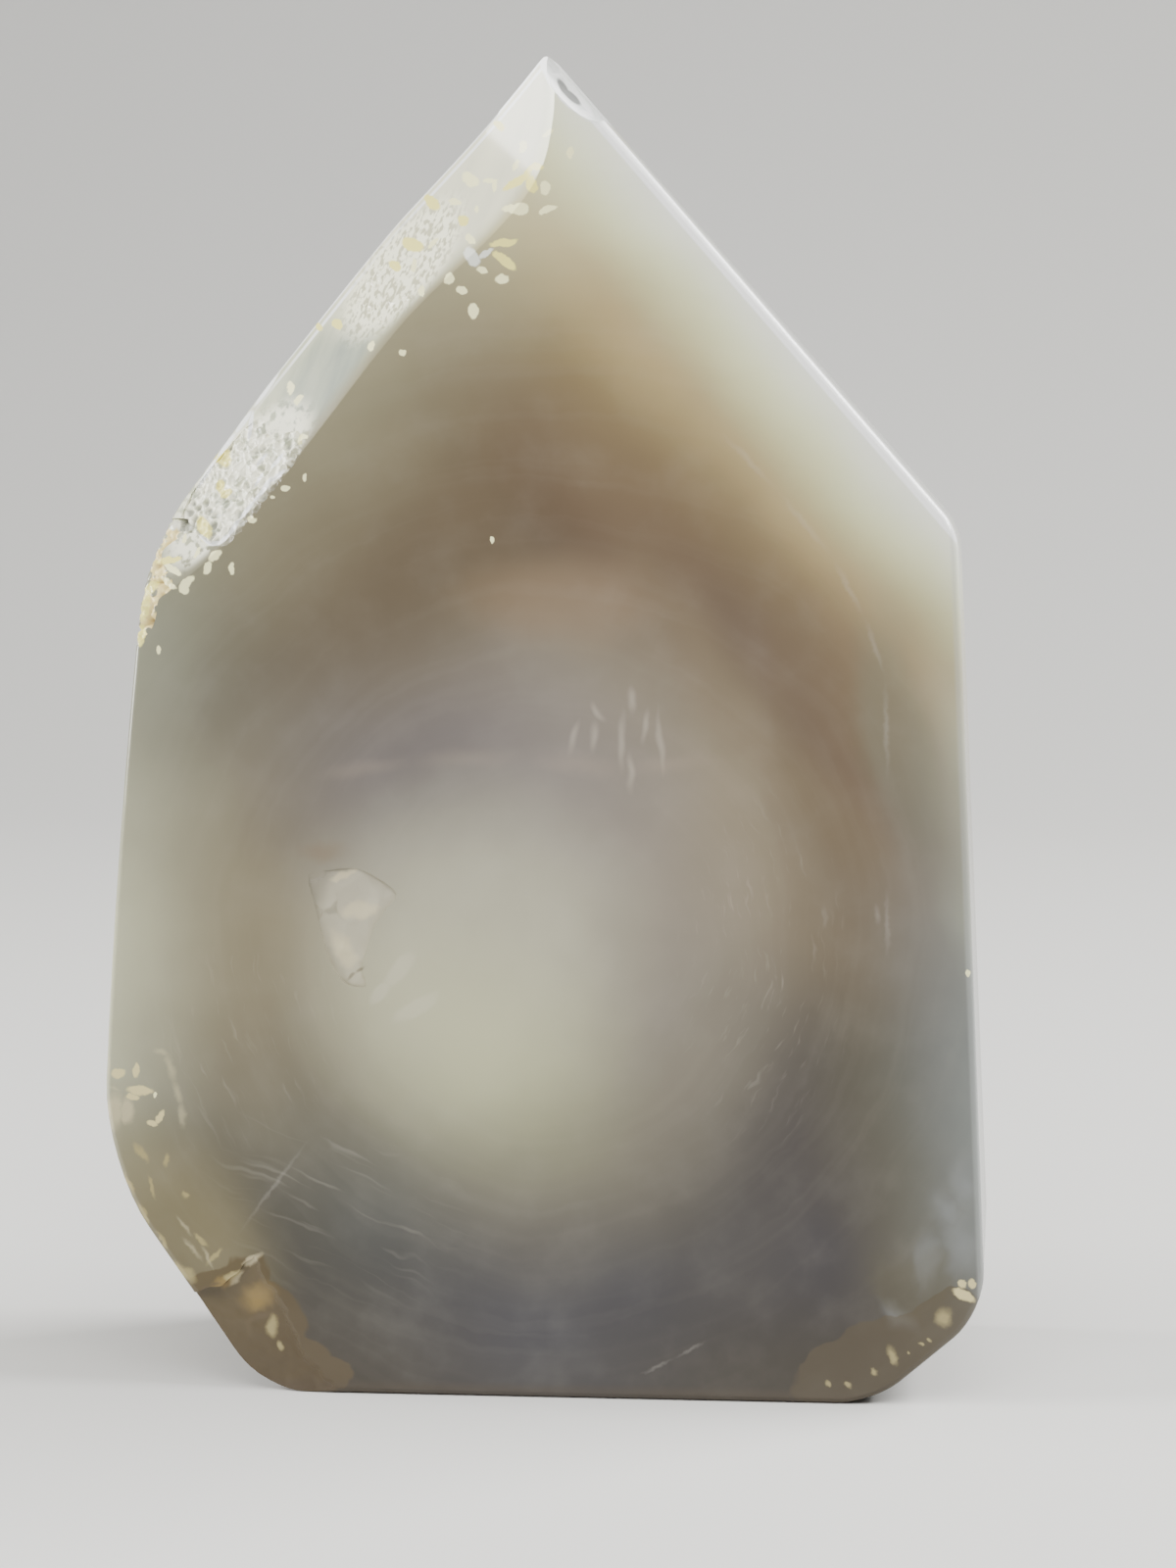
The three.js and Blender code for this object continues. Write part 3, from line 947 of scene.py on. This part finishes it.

# %% Cream flecks and bars, and painted highlights on the rims of the opened cells
CREAM = [
    (534, 147, 533, 151, 9), (556, 138, 563, 134, 5), (582, 153, 582, 158, 7), (524, 172, 527, 165, 5),
    (556, 189, 556, 195, 10), (475, 180, 482, 185, 12), (493, 184, 505, 184, 5), (505, 184, 503, 193, 5),
    (513, 213, 536, 214, 9), (528, 213, 534, 213, 12), (552, 217, 566, 211, 6), (486, 211, 486, 215, 5),
    (460, 205, 466, 206, 7), (478, 242, 481, 246, 8), (459, 282, 458, 286, 9), (469, 296, 473, 297, 7),
    (430, 295, 430, 298, 8), (483, 315, 483, 320, 10), (510, 285, 514, 285, 10), (490, 275, 495, 277, 7),
    (438, 252, 446, 244, 5), (422, 266, 422, 275, 5), (380, 352, 378, 355, 7), (410, 359, 411, 360, 6),
    (296, 393, 296, 399, 8), (302, 411, 308, 405, 6), (305, 451, 307, 445, 6), (307, 445, 312, 445, 5),
    (311, 485, 311, 489, 5), (289, 499, 293, 498, 6), (278, 507, 279, 507, 4), (255, 530, 259, 531, 7),
    (217, 570, 223, 564, 8), (210, 583, 213, 576, 8), (236, 577, 236, 584, 6), (186, 600, 196, 590, 9),
    (187, 601, 189, 602, 9), (170, 592, 179, 599, 7), (172, 576, 184, 585, 7), (162, 661, 162, 666, 5),
    (189, 548, 189, 551, 6), (200, 567, 205, 560, 4), (205, 547, 210, 552, 4), (501, 550, 502, 552, 4),
    (158, 1117, 158, 1119, 4), (988, 992, 988, 994, 4),
]
YELLOW = [
    (507, 126, 511, 130, 8), (536, 176, 544, 169, 6), (544, 169, 551, 171, 7), (513, 193, 539, 178, 8),
    (541, 185, 543, 191, 12), (471, 223, 473, 226, 10), (502, 249, 526, 246, 8), (506, 260, 524, 273, 9),
    (436, 202, 443, 209, 12), (416, 248, 426, 252, 13), (401, 270, 406, 273, 9), (343, 330, 346, 332, 9),
    (325, 333, 327, 335, 6), (222, 461, 229, 468, 17), (225, 494, 225, 499, 10), (228, 505, 233, 502, 9),
    (205, 533, 210, 543, 14), (159, 573, 186, 570, 6), (143, 655, 146, 640, 9), (148, 630, 152, 612, 10),
    (152, 604, 160, 596, 10),
]
DULL = [
    (171, 1181, 170, 1186, 7), (187, 1217, 189, 1221, 7), (276, 1361, 277, 1347, 14),
    (283, 1372, 287, 1376, 8), (199, 1259, 212, 1269, 6), (209, 1291, 226, 1273, 6),
    (234, 1304, 243, 1300, 10), (138, 1168, 150, 1186, 9), (150, 1200, 160, 1225, 5),
    (126, 1196, 138, 1222, 6), (140, 1226, 152, 1250, 6), (160, 1256, 172, 1275, 6),
    (962, 1343, 964, 1347, 19), (908, 1377, 915, 1390, 8), (890, 1399, 892, 1402, 8),
    (864, 1413, 866, 1415, 7), (846, 1412, 847, 1414, 5), (938, 1370, 940, 1372, 5),
    (948, 1364, 950, 1366, 5), (926, 1382, 927, 1383, 4), (176, 1290, 196, 1304, 14),
]
TAN = [
    (133, 1112, 152, 1114, 10), (131, 1119, 140, 1120, 6), (139, 1087, 139, 1096, 6),
    (160, 1145, 166, 1135, 6), (152, 1146, 158, 1147, 6), (982, 1309, 982, 1311, 8),
    (992, 1309, 993, 1311, 8), (976, 1318, 992, 1326, 10), (118, 1096, 124, 1094, 9),
]
BLUISH = [(478, 258, 484, 266, 13), (490, 262, 501, 255, 6)]
# Painted highlights: bright lines where light catches the rims of the opened cells.
RIM_HIGHLIGHTS = [
    *joined(5, (290, 480), (276, 491), (258, 513), (244, 530), (233, 546), (224, 554), (214, 555)),
    (214, 555, 204, 546, 4), (262, 475, 272, 463, 4), (260, 496, 268, 483, 4), (269, 497, 276, 488, 5),
    (276, 478, 289, 463, 5), *joined(6, (257, 419), (240, 442), (222, 466)), (222, 466, 200, 500, 5),
    (258, 419, 253, 450, 5), (285, 380, 258, 417, 5),
]
print("flecks:", sum(len(marks) for marks in (CREAM, YELLOW, DULL, TAN)))

# %% Veins, smears and cracks, with painted glints and painted shade
# Pale soft spots, and painted highlights: glints at the face chip's upper edge and along the ledge.
SOFT_SPOTS_AND_GLINTS = [
    (118, 1120, 118, 1146, 20), (130, 1124, 131, 1142, 16), (352, 930, 380, 928, 18),
    (344, 958, 356, 982, 24), (336, 897, 362, 890, 9), (250, 1290, 264, 1280, 9),
    (236, 1310, 246, 1300, 10),
]
AMBER = [(254, 1326, 270, 1322, 34), (222, 1312, 236, 1306, 14)]
# Dark lines, mostly painted shade along the steps of the face chip and the ledge.
DARK_AND_STEP_SHADE = [
    *joined(4, (353, 1000), (364, 994), (373, 985)), (249, 1350, 277, 1338, 9),
    *joined(4, (203, 1317), (214, 1312), (227, 1311)), (246, 1306, 260, 1291, 5),
]
TICKS = [
    (591, 735, 582, 768, 10), (605, 718, 616, 734, 9), (608, 736, 605, 764, 10),
    (636, 722, 633, 790, 10), (645, 702, 644, 727, 10), (659, 725, 658, 757, 9),
    (670, 720, 677, 795, 8), (643, 767, 645, 808, 11),
]
SHADE = [(312, 872, 350, 868, 26)]
SMEARS = [(420, 972, 396, 1005, 16), (396, 1005, 380, 1021, 13), (446, 1016, 405, 1040, 16)]
FAINT = [
    *joined(5, (652, 1403), (690, 1386), (719, 1369)), (318, 1158, 240, 1264, 5),
    *joined(8, (735, 440), (793, 500), (850, 570), (882, 630)),
    *joined(7, (882, 630), (903, 690), (906, 800)), (905, 905, 906, 980, 7), (894, 923, 896, 943, 7),
]
WAVES = [
    (322, 792, 420, 776, 24), (420, 776, 540, 771, 26), (540, 771, 640, 787, 30),
    (640, 787, 724, 774, 24),
]
VEINS = [
    *joined(10, (170, 1075), (178, 1104), (185, 1125)), (185, 1125, 187, 1150, 9),
    (170, 1075, 158, 1072, 8), *joined(4, (111, 1075), (111, 1108), (124, 1113)),
    (180, 1239, 196, 1262, 5), (186, 1262, 206, 1286, 6), (205, 1270, 218, 1296, 5),
]

colour = with_marks(colour, [
    ("#c5bc97", mark_place, VEINS, 0.9, 0.4),
    ("#c4beb4", mark_place, FAINT, 1, 0.13),
    ("#b6a592", tick_place, WAVES, 1, 0.11),
    ("#cbc2b2", tick_place, TICKS, 1, 0.25),
    ("#cbc7b3", tick_place, SMEARS, 0.5, 0.3),
    ("#7a6752", rough_place, SHADE, 0.9, 0.4),
    ("#cdc19c", rough_place, SOFT_SPOTS_AND_GLINTS, 0.6, 0.55),
    ("#a98d4e", rough_place, AMBER, 0.9, 0.42),
    ("#5b4e3a", tick_place, DARK_AND_STEP_SHADE, 0.8, 0.6),
    ("#f8f4bd", mark_place, CREAM, 0.25, 1),
    ("#ede48a", mark_place, YELLOW, 0.25, 1),
    ("#aa9d6c", rough_place, DULL, 0.7, 0.7),
    ("#dccf96", mark_place, TAN, 0.35, 0.85),
    ("#e9ece2", mark_place, BLUISH, 0.3, 0.8),
    ("#f4f5f1", place, RIM_HIGHLIGHTS, 0.4, 1),
])
print("marks, nodes:", len(nodes))

# %% The chipped tip
# The white of the fresh break along the chip's rims, with a painted highlight on it.
TIP_RIM_AND_HIGHLIGHT = [
    *joined(6, (554, 60), (559, 73), (565, 83), (573, 99), (579, 106), (591, 113)),
    (591, 113, 602, 117, 7), *joined(5, (557, 56), (567, 64), (573, 70)),
    *joined(6, (573, 70), (579, 83), (589, 96), (602, 114)), (566, 78, 577, 78, 6),
]
# Painted shade in the chip, just under its rim.
TIP_SHADE = [(572, 84, 579, 96, 7), (577, 93, 589, 104, 7), (560, 64, 567, 74, 6)]
TIP_PAINT = (1.1 * TIP_CHIP_SIZE[0], 1.1 * TIP_CHIP_SIZE[2])  # a little wider than the chip
TIP_PAINT_DEEP = 99  # right through the stone

tip_hollow = blob(place, *TIP_CHIP_AT, *TIP_PAINT, math.degrees(TIP_CHIP_TURN), TIP_PAINT_DEEP)
colour = laid_over(colour, "#eaece8", [(tip_hollow, 0, 0.15)])
colour = with_marks(colour, [
    ("#6f706d", place, TIP_SHADE, 0.35, 0.9),
    ("#fbfbf9", place, TIP_RIM_AND_HIGHLIGHT, 0.4, 1),
])
print("tip, nodes:", len(nodes))

# %% [markdown]
# The finish is a hand polish: nearly a mirror, with slow waves from the wheel and duller places,
# and matt where the stone is broken. One number for the whole stone would look like plastic, so the
# roughness follows slow noise and the measured depth, and a faint bump bends the reflections.

# %% The polish
IOR = 1.54
POLISHED = 0.1
DULLER = 0.06  # how much duller the polish is in places
BROKEN = 0.42
SPARKLING = 0.14  # on the flakes of the bevel, whose little faces mirror the soft boxes
WAVE_SIZE, WAVE_HEIGHT = 6, 0.02 * MM

polish = put("Math", {0: noise_at(place, 9, 3), 1: DULLER, 2: POLISHED}, operation="MULTIPLY_ADD")
broken = put("MapRange", {"Value": depth, "From Min": 0.02, "From Max": 0.08},
             interpolation_type="SMOOTHSTEP")
sparkle = put("MapRange", {
    "Value": near_flakes, "From Min": 0.05, "From Max": 0.4, "To Min": BROKEN, "To Max": SPARKLING,
}, interpolation_type="SMOOTHSTEP")
finish = put("Mix", {0: broken, 2: polish, 3: sparkle}, data_type="FLOAT")
waves = put("Bump", {"Strength": 0.25, "Distance": WAVE_HEIGHT, "Height": noise_at(place, WAVE_SIZE, 1)})
shader = put("BsdfPrincipled", {
    "Base Color": colour, "Roughness": finish, "IOR": IOR, "Normal": waves,
})
put("OutputMaterial", {"Surface": shader})
stone.data.materials.clear()
stone.data.materials.append(agate)
print("nodes in the agate:", len(nodes))

# %% [markdown]
# The room is plain: a pale floor that curves up behind the stone, two large soft boxes for the
# bright lines along the edges, one above for even light, and a grey surrounding.

# %% Floor and backdrop
FLOOR_SIZE = 2.4  # this and the next three are in metres
BACKDROP_AT = 0.9
BACKDROP_HEIGHT = 1.6
CURVE = 0.5

bpy.ops.object.select_all(action="DESELECT")
bpy.ops.mesh.primitive_plane_add(size=1)
floor = bpy.context.object
floor.name = "floor"
floor.scale = (FLOOR_SIZE, FLOOR_SIZE, 1)
floor.location = (0, BACKDROP_AT - FLOOR_SIZE / 2, 0)
apply_place(floor)


def along_the_back(ends, _):
    """True for the edge where the floor ends and the backdrop starts."""
    return all(end.y > BACKDROP_AT / MM - 1 and end.z < 1 for end in ends)


select_edges(floor, along_the_back)
bpy.ops.mesh.extrude_region_move(TRANSFORM_OT_translate={"value": (0, 0, BACKDROP_HEIGHT)})
print("floor folds rounded:", round_edges(floor, along_the_back, CURVE, 16))
bpy.ops.object.shade_smooth()

paper = bpy.data.materials.new("matt_paper")
paper.use_nodes = True
matt = paper.node_tree.nodes["Principled BSDF"].inputs
matt["Base Color"].default_value = linear("#c9c8c4")
matt["Roughness"].default_value = 0.9
floor.data.materials.append(paper)

# %% Soft boxes
MIDDLE = Vector((0, 0, 55)) * MM


def add_softbox(name, towards, distance, width, height, watts):
    """A rectangular area light that looks at the stone from a direction."""
    towards = Vector(towards).normalized()
    bpy.ops.object.light_add(type="AREA")
    light = bpy.context.object
    light.name = name
    light.data.shape = "RECTANGLE"
    light.data.size = width
    light.data.size_y = height
    light.data.energy = watts
    light.data.color = linear("#ffffff")[:3]
    turned = towards.to_track_quat("Z", "Y").to_matrix().to_4x4()
    light.matrix_world = Matrix.Translation(MIDDLE + towards * distance) @ turned
    print(name, watts, "W at", distance, "m")


add_softbox("softbox_right", (0.73, 0.16, 0.64), 0.7, 0.6, 0.3, 13)
add_softbox("softbox_left", (-0.94, -0.1, 0.34), 0.7, 0.4, 0.4, 10)
add_softbox("softbox_above", (0.05, -0.6, 0.8), 0.32, 0.3, 0.25, 1.09)

world = bpy.data.worlds.new("studio")
bpy.context.scene.world = world
world.use_nodes = True
around = world.node_tree.nodes["Background"].inputs
around["Color"].default_value = linear("#a0a0a0")
around["Strength"].default_value = 0.5

# %% Attach the stone to its body and hide the measured part
bpy.ops.object.select_all(action="DESELECT")
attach(stone, "root")
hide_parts("agate_slice")
